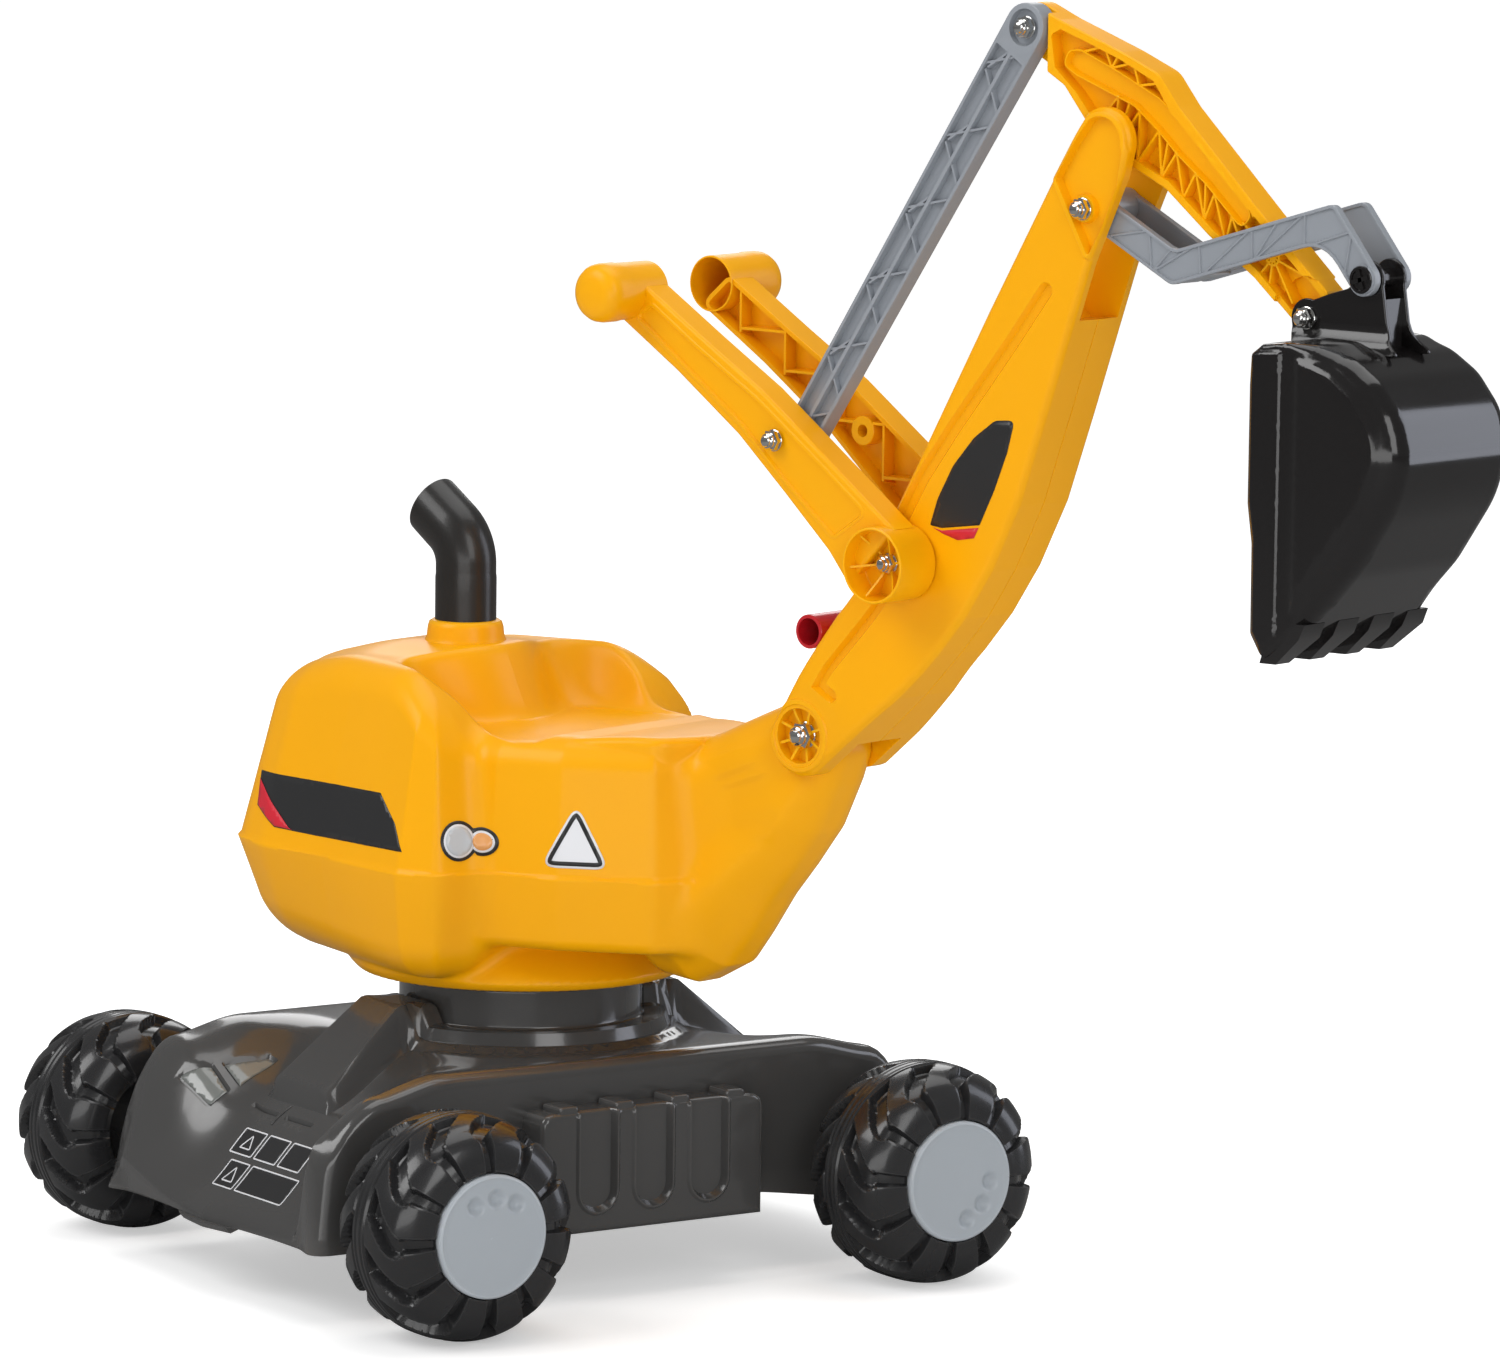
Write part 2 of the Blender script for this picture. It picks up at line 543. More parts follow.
def tyre_mesh():
    """Carcass and its two staggered rows of chevron lugs, about the Y axis, outer side at +y."""
    around, half_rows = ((384, 46))
    t = np.linspace(0, 1, half_rows + 1)
    u = np.concatenate([-t[::-1], t[1:]])
    s = np.abs(u)
    phi = np.linspace(0, math.pi / 2, 2000)
    n = 2.0 / 2.72
    fine_y = WHEEL_HALF * np.sin(phi) ** n
    fine_r = HUB_RADIUS + 1.0 + (WHEEL_RADIUS - HUB_RADIUS - 1.0) * np.maximum(np.cos(phi), 0) ** n
    run = np.concatenate([[0.0], np.cumsum(np.hypot(np.diff(fine_y), np.diff(fine_r)))])
    y = np.sign(u) * np.interp(s, run / run[-1], fine_y)
    r = np.interp(s, run / run[-1], fine_r)
    ty, tr = np.gradient(y), np.gradient(r)
    length = np.hypot(ty, tr)
    ny, nr = -tr / length, ty / length
    theta = np.arange(around) * 2 * math.pi / around
    U, T = np.meshgrid(u, theta, indexing="ij")
    S = np.abs(U)
    pitch = 2 * math.pi / LUGS
    twist = 0.70 * (1 - smoothstep(S, 0.06, 0.56)) + 0.08 * smoothstep(S, 0.56, 0.66)
    f = (T / pitch + twist + np.where(U > 0, 0.0, 0.5)) % 1.0
    width = 0.54 + 0.20 * smoothstep(S, 0.42, 0.66)
    edge = 0.055
    lug = smoothstep(f, 0.0, edge) * (1 - smoothstep(f, width, width + edge))
    band = 1 - smoothstep(S, 0.075, 0.095)
    groove = smoothstep(S, 0.03, 0.042) * (1 - smoothstep(S, 0.05, 0.062))
    reach = smoothstep(S, 0.12, 0.16)
    valley = (1 - lug) * reach * (1 - band)
    depth = LUG_DEPTH * (1 - 0.55 * smoothstep(S, 0.62, 0.98))
    slope = 0.9 * f * smoothstep(S, 0.5, 0.65) * (1 - smoothstep(S, 0.9, 0.99))
    ring = 1.2 * smoothstep(S, 0.09, 0.10) * (1 - smoothstep(S, 0.11, 0.125))
    low = valley * depth + slope + 0.8 * groove + ring
    R = r[:, None] - nr[:, None] * low
    Y = y[:, None] - ny[:, None] * low
    verts = [np.stack([R * np.cos(T), Y, R * np.sin(T)], 2).reshape(-1, 3)]
    faces = ring_faces(len(u), around)
    start = len(u) * around
    # recess for the hub cap outside, closed web inside
    for side, radii, heights, last in ((1, (HUB_RADIUS + 0.6, HUB_RADIUS + 0.6, 6.0), (1.0, 5.0, 5.0),
            start - around), (-1, (HUB_RADIUS - 2, HUB_RADIUS - 6, 6.0), (1.5, 9.0, 12.0), 0)):
        for rad, h in zip(radii, heights):
            level = np.full(around, side * (WHEEL_HALF - h))
            verts.append(np.stack([rad * np.cos(theta), level, rad * np.sin(theta)], 1))
            faces += bridge(last, start, around)
            last, start = start, start + around
    # bore between the two hub ends
    faces += bridge(start - 4 * around, start - around, around)
    return np.concatenate(verts), faces


def cap_mesh():
    """Hub cap: a disc with a bright rolled edge and three shallow thumb dimples near its rim."""
    around, rings = 144, 40
    r = np.concatenate([np.linspace(0, HUB_RADIUS - 2.2, rings), HUB_RADIUS
        - np.array([1.7, 1.2, 0.7, 0.25, 0.0])])
    theta = np.arange(around) * 2 * math.pi / around
    R, T = np.meshgrid(r, theta, indexing="ij")
    x, z = R * np.cos(T), R * np.sin(T)
    h = np.where(R > HUB_RADIUS - 2.2, 0.35 - 1.35 * ((R - HUB_RADIUS + 2.2) / 2.2) ** 3, 0.0)
    h -= 0.35 * (1 - smoothstep(R, HUB_RADIUS - 4.5, HUB_RADIUS - 2.6))
    for cx, cz in ((-10.6, 17.2), (2.2, 20.4), (14.4, 16.6)):
        h -= 3.2 * (1 - smoothstep(np.hypot(x - cx, z - cz), 1.5, 6.2))
    front = np.stack([x, HUB_FACE - WHEEL_MID - 0.35 + h, z], 2).reshape(-1, 3)
    back = np.stack([x[-1], np.full(around, 32.0), z[-1]], 1)
    verts = np.concatenate([front, back, [[0, 32.0, 0]]])
    n = len(r)
    faces = ring_faces(n + 1, around, 1)
    faces += [[0, around + (k + 1) % around, around + k] for k in range(around)]
    faces += [[n * around + k, n * around + (k + 1) % around, (n + 1) * around] for k in range(around)]
    # the innermost ring has no radius, so only its first point is used
    used = sorted({i for f in faces for i in f})
    number = {old: new for new, old in enumerate(used)}
    return verts[used], [[number[i] for i in f] for f in faces]


tyre_verts, tyre_faces = tyre_mesh()
cap_verts, cap_faces = cap_mesh()
PHASE = {"rear_right": 0.12, "rear_left": 0.9, "front_right": 0.0, "front_left": 0.4}
CAP_TURN = {"rear_right": 0.0, "rear_left": 0.8, "front_right": -2.2, "front_left": 2.1}
for corner, end, side in CORNERS:
    for (verts, faces), turn, name, mat, node in (((tyre_verts, tyre_faces), PHASE[corner],
            "wheel_with_lugs_", TYRE, "wheel_"), ((cap_verts, cap_faces), CAP_TURN[corner], "dimpled_cap_",
            CAP, "hub_cap_")):
        c, s = math.cos(turn), math.sin(turn)
        p = np.column_stack([verts[:, 0] * c - verts[:, 2] * s, side * verts[:, 1], verts[:, 0] * s
            + verts[:, 2] * c])
        p = p + [end * WHEELBASE / 2, side * WHEEL_MID, WHEEL_RADIUS]
        make_piece(name + corner, base_frame(p), faces, mat, "wheel_" + corner, [node + corner], sharp=34)

# ---- wheeled base ----
DECK_X, DECK_Y, NECK_R = 204.0, 117.0, 67.8


def deck_top(p):
    """Height of the moulded deck: a valley between two high rims, level round the neck."""
    x, y = np.abs(p[:, 0]), np.abs(p[:, 1])
    label_half = smoothstep(p[:, 0] * p[:, 1], -300, 300)
    rim = 129.0 - 9.5 * smoothstep(x, 115, 168) - 22.0 * smoothstep(x, 160, 200)
    rim -= (1 - label_half) * 50 * np.clip((x - 160) / 44, 0, 1) ** 2
    rim -= label_half * 12 * np.clip((x - 192) / 12, 0, 1) ** 2
    rim -= 15 * smoothstep(x, 180, 204) * smoothstep(y, 98, 117)
    valley = 128.0 - 31.0 * smoothstep(x, 78, 150) - 52.0 * smoothstep(x, 138, 210)
    inner = 40 + (-24 + 72 * label_half) * smoothstep(x, 100, 170)
    return valley + (rim - valley) * smoothstep(y, inner, 104 - 2 * smoothstep(x, 150, 200))


def ramp_height(p):
    """Raised ramp up to the neck on the deck's centre line: its crest, and its share at each point."""
    x, y = np.abs(p[:, 0]), np.abs(p[:, 1])
    run = np.clip((x - 92) / 50, 0, 1)
    return 150.5 - 43.0 * run, smoothstep(22.0 + 8.0 * run - y, -4.0, 3.0) * smoothstep(144.5 - x, 0, 2.5)


PANES = [rounded([(175, 84), (156.5, 71), (156.8, 50), (170.5, 51.5)], [3, 2, 2, 4], 3),
    rounded([(152.8, 70), (126, 62.5), (122.5, 55), (152.8, 48.5)], [2, 4, 4, 2], 3)]


def deck_mesh():
    end = [(DECK_X - 7, DECK_Y), (DECK_X - 3, 40), (DECK_X, 0), (DECK_X - 3, -40), (DECK_X - 7, -DECK_Y)]
    outline = rounded([(-x, -y) for x, y in end] + end, [16, 60, 40, 60, 16] * 2, 6)
    # glazed recess in two panes on one half of each end slope, grooves below the ramp
    grooves = [box_loop(151.6, 154.4, 6, 33), box_loop(151.6, 154.4, -31, -2), box_loop(145.5, 159, 2.4, 4.4)]
    features = [([(sx * x, -sx * y) for x, y in loop], -2.2, wall) for sx in (-1, 1) for shapes,
        wall in ((PANES, 1.2), (grooves, 0.6)) for loop in shapes]
    loops = []
    for loop, _, wall in features:
        loops += [loop, inset(loop, wall)]
    loops += [inset(outline, s) for s in (0.3, 0.8, 1.8, 3.2, 5.0, 8.0)]
    loops += [[(r * math.cos(a), r * math.sin(a)) for a in np.arange(96) * 2 * math.pi / 96]
        for r in (63, 67.5, 78, 81, 83.5, 87, 92, 96)]
    for sx in (-1, 1):
        for grow in (-3.0, -1.0, 1.5, 4.0):
            foot = sx * (144.5 + min(grow, 0))
            loops.append([(sx * 88, -22 - grow), (foot, -30 - grow), (foot, 30 + grow), (sx * 88, 22 + grow)])
    v, f = triangulate_outline(outline, loops, 4.0)
    h = deck_top(v) + relief_heights(v, outline, features, 8.0)
    r = np.hypot(v[:, 0], v[:, 1])
    h = np.maximum(h, h + (131.5 - h) * smoothstep(92.0 - r, 0.0, 5.0))
    h = h + (138.0 - h) * smoothstep(83.5 - r, 0.0, 2.5)
    crest, share = ramp_height(v)
    h = np.maximum(h, h + (crest - h) * share * smoothstep(r, 67.0, 70.0))
    return v, f, np.where(r < 66, 137.4, h)


def chassis_piece():
    """The deck with its skirt, which hangs lower under the wheels and flares at the four corners."""
    v, f, h = deck_mesh()
    ring = boundary(f)
    n = len(ring)
    verts, faces, previous = [(*p, z) for p, z in zip(v, h)], f.tolist(), ring
    for share in (0.18, 0.5, 0.8, 1.0):
        here = range(len(verts), len(verts) + n)
        for x, y, top in [verts[i] for i in ring]:
            low = 39.0 + 9.0 * (1 - smoothstep(abs(x), 60, 150)) - smoothstep(abs(y), 60, 110)
            grow = 1 + 0.026 * share * smoothstep(abs(x), 180, 200) * smoothstep(abs(y), 92, 110)
            verts.append((min(abs(x) * grow, DECK_X) * np.sign(x), min(abs(y) * grow, DECK_Y) * np.sign(y),
                top + (low - top) * share))
        faces += [[previous[k], here[k], here[(k + 1) % n], previous[(k + 1) % n]] for k in range(n)]
        previous = here
    return np.array(verts), faces


def base_piece(name, mesh, replaced=(), sharp=40):
    make_piece(name, base_frame(mesh[0]), mesh[1], DARK, "chassis", replaced, sharp, "chassis_plastic")


deck_v, deck_f = chassis_piece()
deck = make_piece("deck", base_frame(deck_v), deck_f, DARK, "chassis", ["chassis_shell"], sharp=40,
    weight=False)
add_wall(deck, "wall", DECK_WALL)
even_normals(deck)

# side tool boxes with three round-ended channels each
BOX_HALF, BOX_FACE, BOX_TOP, BOX_LOW = 72.0, 137.5, 106.0, 38.5
for side, name in SIDES:
    outline = rounded(box_loop(-BOX_HALF, BOX_HALF, BOX_LOW, BOX_TOP), [0.5, 0.5, 9, 9], 6)
    channels = []
    for x in (-36, 0, 36):
        loop = [(x + 12, BOX_TOP + 8), (x + 12, 78)] + arc((x, 62), 12, 0, -180, 12) + [(x - 12, BOX_TOP + 8)]
        channels += [(inset(loop, -2.2), 1.2, 1.4), (loop, -4.0, 2.2)]
    base_piece("step_box_" + name, standing(outline, BOX_FACE, side, 22.0, channels, edge=3.2,
        back_edge=0.4, spacing=3.0))
    for x in (-54, -18, 18, 54):
        cap = rounded(box_loop(x - 6.2, x + 6.2, BOX_TOP - 4, BOX_TOP + 3.2), [0.5, 0.5, 2.4, 2.4], 4)
        base_piece("box_rib_%s_%d" % (name[0], x + 54), standing(cap, BOX_FACE - 1.0, side, 19.0, edge=1.6))

# axle tubes under the deck
for end, name in ((-1, "rear"), (1, "front")):
    tube = turned_mesh([(5.6, -124), (8.2, -124), (9.0, -122.5), (9.0, 122.5), (8.2, 124), (5.6, 124)], 40,
        (end * WHEELBASE / 2, 0, WHEEL_RADIUS), (0, 1, 0))
    base_piece("axle_tube_" + name, tube)

neck = turned_mesh([(NECK_R - 1.8, 160), (NECK_R - 0.6, 159.4), (NECK_R, 158.2), (NECK_R, 139.5),
    (NECK_R + 0.6, 138.4), (NECK_R + 1.4, 137.9), (NECK_R + 1.4, 137.35), (12, 137.35), (12, 160)], 128,
    (0, 0, 0), (0, 0, 1))
base_piece("turntable_neck", neck, ["turntable_collar"], 35)


# ---- arm: shared points and small builders ----
BOOM_FOOT, LEVER_AT, LINK_AT, STICK_AT = (229.0, 318.0), (295.0, 417.0), (409.0, 610.0), (420.0, 645.0)
ROD_FOOT, ROD_HEAD, BUCKET_AT, LINK_END = (220.0, 477.0), (359.0, 701.0), (545.0, 562.0), (583.0, 584.0)
GRIP, LOCK_GRIP, LOCK_AT = (112.0, 549.5), (226.0, 373.0), (252.0, 377.0)


def ribbon(path, radius, end_radius=None, steps=8):
    """Outline of a band of constant or growing half width along a polyline, with round ends."""
    pts = [Vector(p) for p in path]
    n = len(pts)
    radii = [radius + ((end_radius or radius) - radius) * i / (n - 1) for i in range(n)]
    left, right = [], []
    for i in range(1, n - 1):
        u, v = (pts[i] - pts[i - 1]).normalized(), (pts[i + 1] - pts[i]).normalized()
        m = (u + v).normalized()
        normal = Vector((-m.y, m.x)) * radii[i] / max(0.4, m.dot(u))
        left.append(tuple(pts[i] + normal))
        right.append(tuple(pts[i] - normal))
    first = math.degrees(math.atan2(*(pts[1] - pts[0]).yx))
    last = math.degrees(math.atan2(*(pts[-1] - pts[-2]).yx))
    return (right + arc(path[-1], radii[-1], last - 90, last + 90, steps) + left[::-1]
        + arc(path[0], radii[0], first + 90, first + 270, steps))


def along(path, share):
    pts = np.array(path, float)
    run = np.concatenate([[0], np.cumsum(np.linalg.norm(np.diff(pts, axis=0), axis=1))])
    return tuple(float(np.interp(share * run[-1], run, pts[:, k])) for k in (0, 1))


def bracing(lower, upper, cells, half, crest):
    """Zigzag ribs with a transverse rib at every other joint between two edge lines."""
    out = []
    for i in range(cells):
        a, b, c = along(lower, i / cells), along(upper, (i + 0.5) / cells), along(lower, (i + 1) / cells)
        out += [(a, b, half, crest), (b, c, half, crest)]
        if i % 2:
            out.append((a, along(upper, i / cells), half, crest))
    return out


def fin(profile, half, turn, centre, side):
    """Thin radial rib: profile (radius, outward height) stood about a cross axis at centre (x, z)."""
    c, s = math.cos(turn), math.sin(turn)
    verts = [(centre[0] + r * c - o * s, side * h, centre[1] + r * s + o * c)
        for o in (-half, half) for r, h in profile]
    n = len(profile)
    faces = [list(range(n)), list(range(2 * n - 1, n - 1, -1))]
    faces += [[i, (i + 1) % n, (i + 1) % n + n, i + n] for i in range(n)]
    return np.array(verts), faces


def across(profile, centre, side=1, sides=72):
    """Closed profile (radius, outward height) turned about the cross axis at centre (x, z)."""
    return turned_mesh(profile, sides, (centre[0], 0, centre[1]), (0, side, 0))


def bush(inner, outer, half, chamfer):
    """Profile of a plain bush with chamfered ends."""
    return [(inner, -half), (outer - chamfer, -half), (outer, chamfer - half), (outer, half - chamfer),
        (outer - chamfer, half), (inner, half)]


# ---- boom ----
BOOM_SPINE = [(262, 318), (290, 343), (314, 368), (332, 389), (350, 416), (368, 452), (385, 500),
    (413, 582), (434, 628)]
BOOM_HEEL = [(386, 622), (346, 553), (300, 471), (262, 404), (247, 384), (226, 350)]
boom_points = arc(BOOM_FOOT, 22, 180, 296, 20) + BOOM_SPINE + arc(STICK_AT, 18, -20, 130, 24) + BOOM_HEEL
boom_radii = [0] * 21 + [14] * 9 + [0] * 25 + [10, 0, 0, 22, 22, 8]
BOOM_OUTLINE = rounded(boom_points, boom_radii, 5)
EAR = rounded([(391, 625), (413, 586), (420, 599), (431, 624), (434.5, 640)]
    + arc(STICK_AT, 13.4, 0, 125, 16) + [(402, 643)], [2.5, 1, 6, 8, 0] + [0] * 17 + [8], 5)
UPPER_CHANNEL = ribbon([(385, 566), (362, 536), (325, 490), (304, 462), (285, 430)], 4.6)
LOWER_CHANNEL = ribbon([(286, 406), (263, 376), (247, 355), (242, 346.5), (251, 341.5)], 3.6)
STICK_SLOT = [(359, 572), (385, 550), (475, 555), (489, 698), (349, 698)]
LOCK_SLOT = [(199, 354), (243, 358), (259, 377), (243, 396), (199, 398)]
FORK_GAP = ribbon([BOOM_FOOT, (159, 258)], 30, 40)


def cheek_bulge(v):
    """The foot of each half swells outwards round the boom pivot."""
    return -9.4 * (1 - smoothstep(np.hypot(v[:, 0] - BOOM_FOOT[0], v[:, 1] - BOOM_FOOT[1]), 26, 92))


BOOM_TREES = {}
for side, name in SIDES:
    reliefs = [(inset(EAR, -3.2), 1.3, 1.0), (EAR, -4.6, 1.3), (circle(LINK_AT, 7.8), 3.2, 0.9),
        (UPPER_CHANNEL, -3.0, 2.2), (LOWER_CHANNEL, -3.2, 1.8), (circle(BOOM_FOOT, 20.2, 64), 0.9, 0.8),
        (circle(BOOM_FOOT, 17.2, 64), -0.7, 0.5), (circle(BOOM_FOOT, 14.9, 64), -6.1, 0.5)]
    half = standing(BOOM_OUTLINE, 23.0, side, thickness=22.8, front=reliefs, edge=4.2, back_edge=0.3,
        spacing=3.4, back=[(STICK_SLOT, -15.6, 0.3), (LOCK_SLOT, -6.9, 0.3), (FORK_GAP, -17.65, 0.3)],
        front_shift=cheek_bulge)
    BOOM_TREES[side] = half
    fins = [fin([(5.5, 26.0), (15.2, 26.0), (15.2, 31.2), (11, 30.2), (5.5, 28.4)], 0.75,
        math.radians(20 + 45 * k), BOOM_FOOT, side) for k in range(8)]
    make_piece("boom_tray_" + name, *merged(half, *fins), YELLOW, "boom", ["boom_half_" + name], sharp=36)

# ---- levers ----
LEVER_EDGE = rounded([(272, 404), (303, 436), (252, 473), (210, 503), (168, 528), (124, 555), (104, 538),
    (150, 509), (194, 478), (226, 450), (258, 421)], [0, 0, 30, 30, 30, 6, 6, 30, 30, 30, 20], 5)
PANEL = rounded([(262, 429), (283, 443), (249, 468), (207, 497.5), (165, 522), (132, 543), (121, 537),
    (154, 514), (197, 484), (228, 456)], 3, 3)
for side, name, body in ((-1, "right", "right_lever"), (1, "left", "boom")):
    low = [(272, 422), (240, 448), (205, 478), (160, 508), (122, 533)]
    high = [(292, 438), (250, 470), (209, 500), (168, 524), (130, 547)]
    inner_ribs, x = [], 132.0
    while x < 268:
        floor_z, top_z = np.interp(x, *zip(*low[::-1])), np.interp(x, *zip(*high[::-1]))
        step = np.interp(-floor_z, [-z for _, z in high[::-1]], [q for q, _ in high[::-1]])
        inner_ribs += [((x, top_z + 2), (x, floor_z - 2), 0.7, -1.0),
            ((x, floor_z), (step, floor_z), 0.7, -1.0)]
        x = float(step)
    arm = standing(LEVER_EDGE, 45.0, side, thickness=18.0, edge=2.2, back_edge=0.5, spacing=3.6,
        front=[(inset(PANEL, -2.2), 0.5, 0.9), (PANEL, -1.5, 0.9)],
        back=[(inset(LEVER_EDGE, 2.6), -9.0, 0.6)], back_ribs=inner_ribs)
    tube = across([(14.4, 26), (15.1, 26), (15.4, 26.4), (15.5, 46), (15.6, 52), (16, 54.5), (16, 62.5),
        (15.5, 66), (13.9, 69), (11, 71), (7, 71.8), (0, 72), (0, 60), (14.3, 58)], GRIP, side)
    cup = across([(4.0, 23.9), (19.6, 23.9), (20.4, 24.8), (20.4, 51.9), (20.1, 52.7), (19.5, 53),
        (18.9, 52.8), (18.6, 52.2), (17.4, 38.8), (16.6, 38.1), (4.0, 38.0)], LEVER_AT, side, 96)
    fins = [fin([(4.5, 37.9), (18.2, 37.9), (18.6, 49.0), (11, 43.6), (6.2, 40.6), (4.5, 40.4)], 0.6,
        math.radians(8 + 60 * k), LEVER_AT, side) for k in range(6)]
    eye = across([(3.4, 27.6), (7.6, 27.6), (8, 28), (8, 43), (3.4, 43)], ROD_FOOT, side, 48)
    make_piece("grip_lever_" + name, *merged(arm, tube, cup, eye, *fins), YELLOW, body, ["lever_" + name],
        sharp=36)

# ---- push rod ----
rod_run = np.array(ROD_FOOT) - np.array(ROD_HEAD)
ROD_LENGTH = np.hypot(*rod_run)
rod_dir = rod_run / ROD_LENGTH
rod_cross = np.array([-rod_dir[1], rod_dir[0]])
ROD_EDGE = ribbon([ROD_FOOT, ROD_HEAD], 11.0, 12.8, 16)
rod_ribs, lanes = [], []
for k in range(6):
    c = np.array(ROD_HEAD) + rod_dir * (19.5 + 46.0 * k)
    rod_ribs += [(tuple(c + (-14, -2.8)), tuple(c + (14, 2.8)), 0.55, -0.6)]
    if k < 5:
        rod_ribs += [(tuple(c + (-14.5, -6)), tuple(c + (-4.2, -31)), 0.55, -0.6),
            (tuple(c + (-13, -5)), tuple(c + (0.5, 3.4)), 0.55, -0.6)]


def rod_point(run, out):
    """Point at a distance from the rod's head and a distance out from its centre line."""
    return tuple(np.array(ROD_HEAD) + rod_dir * run + rod_cross * out)


def rod_half(run):
    return 12.8 - 1.8 * run / ROD_LENGTH


def rod_lean(v):
    """The rod leans outwards from its foot to its head."""
    return 13.5 * (v[:, 1] - ROD_FOOT[1]) / (ROD_HEAD[1] - ROD_FOOT[1])


for lane in (-1, 1):
    corners = [rod_point(16.5, lane), rod_point(16.5, lane * (rod_half(16) - 2)),
        rod_point(252, lane * (rod_half(252) - 2)), rod_point(252, lane)]
    lanes.append((rounded(corners, 0.8, 2), -3.6, 0.5))
rod = standing(ROD_EDGE, 25.7, -1, thickness=10.6, edge=0.7, spacing=3.6, ribs=rod_ribs, back_ribs=rod_ribs,
    front=lanes + [(circle(ROD_HEAD, 9.8, 48), -3.4, 0.5)], back=lanes, shift=rod_lean)
make_piece("braced_rod", *rod, ARM, "push_rod", ["push_rod"], sharp=34)

# ---- stick ----
STICK_EDGE = rounded([(357, 687.5), (384, 672), (404, 648), (414, 634), (430, 632), (452, 622), (480, 600),
    (510, 580)] + arc(BUCKET_AT, 9.0, 235, 400, 12) + [(556, 575), (514, 613), (460, 664), (446, 681),
    (422, 691), (397, 700), (380, 706)] + arc(ROD_HEAD, 12.85, 70, 230, 14), [0, 6, 12, 8, 8, 14, 10, 8]
    + [0] * 13 + [2, 10, 22, 14, 10, 10, 6] + [0] * 15, 5)
POCKET = rounded([(378, 681), (392, 669), (407, 652), (417, 638), (431, 636), (454, 626), (483, 603),
    (512, 584), (533, 565), (543, 567), (552, 573), (511, 610), (455, 661), (443, 677), (421, 687),
    (396, 696), (381, 701), (375, 698)], 2.0, 3)
U_LOOP = rounded([(383, 683), (387, 690), (394, 690.5), (420, 680), (446, 668), (465, 654), (486, 633),
    (507, 612), (501, 605), (478, 626), (458, 641), (446, 652), (430, 664), (392, 678)], 4, 4)
stick_ribs = bracing([(396, 690), (420, 680), (446, 668), (465, 654), (508, 611)],
    [(400, 697), (424, 688), (445, 678), (458, 661), (512, 611)], 7, 0.6, -1.2)
stick_ribs += bracing([(404, 652), (418, 637), (431, 635), (454, 625), (483, 602), (505, 587)],
    [(412, 671), (430, 664), (446, 652), (458, 641), (478, 626), (500, 605)], 7, 0.6, -1.2)
stick_ribs += [((521, 591), (521 + 26 * math.cos(a), 591 + 26 * math.sin(a)), 0.55, -1.4)
    for a in np.radians([20, 55, 95, 140, 185, 228, 262, 300, 338])]
PIN_RING = circle((521, 591), 5.0, 24)
TIP_RELIEF = ribbon([(541.5, 564.5), (570, 545)], 19)
LAP = [(373, 740), (330, 740), (330, 660), (373, 674)]
web = [(POCKET, -7.2, 0.6), (inset(U_LOOP, -1.2), 6.4, 0.6), (U_LOOP, -3.4, 1.2), (PIN_RING, 6.0, 0.5),
    (inset(PIN_RING, 1.6), -3, 0.8)]
tip = [(TIP_RELIEF, -2.1, 0.4)]
stick = standing(STICK_EDGE, 9.5, -1, thickness=19.0, edge=1.0, spacing=3.4, ribs=stick_ribs,
    back_ribs=stick_ribs, front=web + tip + [(LAP, -9.1, 0.3)], back=web + tip)
stick[0][:, 1] = np.clip(stick[0][:, 1], -9.5, 9.5)
boss = across(bush(3.2, 10, 15.3, 0.6), STICK_AT, 1, 48)
hub = across(bush(3.2, 8, 7.1, 0.4), BUCKET_AT, 1, 48)
make_piece("braced_stick", *merged(stick, boss, hub), YELLOW, "stick", ["stick"], sharp=34)

# ---- bucket link ----
LINK_PATH = [LINK_AT, (462, 582.5), (561, 611.5), LINK_END]
link_loop = ribbon(LINK_PATH, 8.6, steps=12)
LINK_EDGE = rounded(link_loop, [8, 22] + [0] * 13 + [6, 8] + [0] * 13, 6)
LINK_POCKET = inset(LINK_EDGE, 1.7)
link_low = [(418, 596), (459, 573), (535, 595), (556, 601), (571, 583)]
link_high = [(430, 608), (464, 592), (540, 614), (562, 620), (588, 596)]
link_ribs = bracing(link_low, link_high, 5, 0.4, -0.35)
parts = [standing(LINK_EDGE, 15.2, side, thickness=4.4, edge=0.6, back_edge=0.5, spacing=3.2,
    front=[(LINK_POCKET, -1.2, 0.4), (circle(LINK_END, 7.6), 1.2, 0.4)], back=[(LINK_POCKET, -0.8, 0.4)],
    ribs=link_ribs) for side in (-1, 1)]
trough = rounded([(414, 600), (424, 592), (458, 573.4), (480, 579), (479.4, 580.8), (458.6, 575.6),
    (425, 594.2), (416, 602)], 1, 2)
parts.append(standing(trough, 11.2, -1, thickness=22.4, edge=0.3, spacing=5))
parts.append(across(bush(3.3, 9.5, 14.4, 0.5), LINK_AT, 1, 64))
make_piece("bucket_link_frame", *merged(*parts), ARM, "bucket_link", ["bucket_link"], sharp=34)
ends = []
for side in (-1, 1):
    ends.append(across([(0, 15.5), (6.6, 15.5), (7.0, 15.8), (7.0, 16.7), (6.6, 17.1), (5.4, 17.1),
        (5.1, 16.4), (0, 16.4)], LINK_END, side, 48))
    for turn in (0.3, 0.3 + math.pi / 2):
        ends.append(fin([(-5.2, 16.3), (5.2, 16.3), (5.2, 17.5), (-5.2, 17.5)], 1.1, turn, LINK_END, side))
ends.append(across([(0, -15.6), (4.4, -15.6), (4.4, 15.6), (0, 15.6)], LINK_END, 1, 48))
make_piece("cross_ended_pin", *merged(*ends), BLACK, "bucket_link", ["bucket_link_pin"], sharp=34)


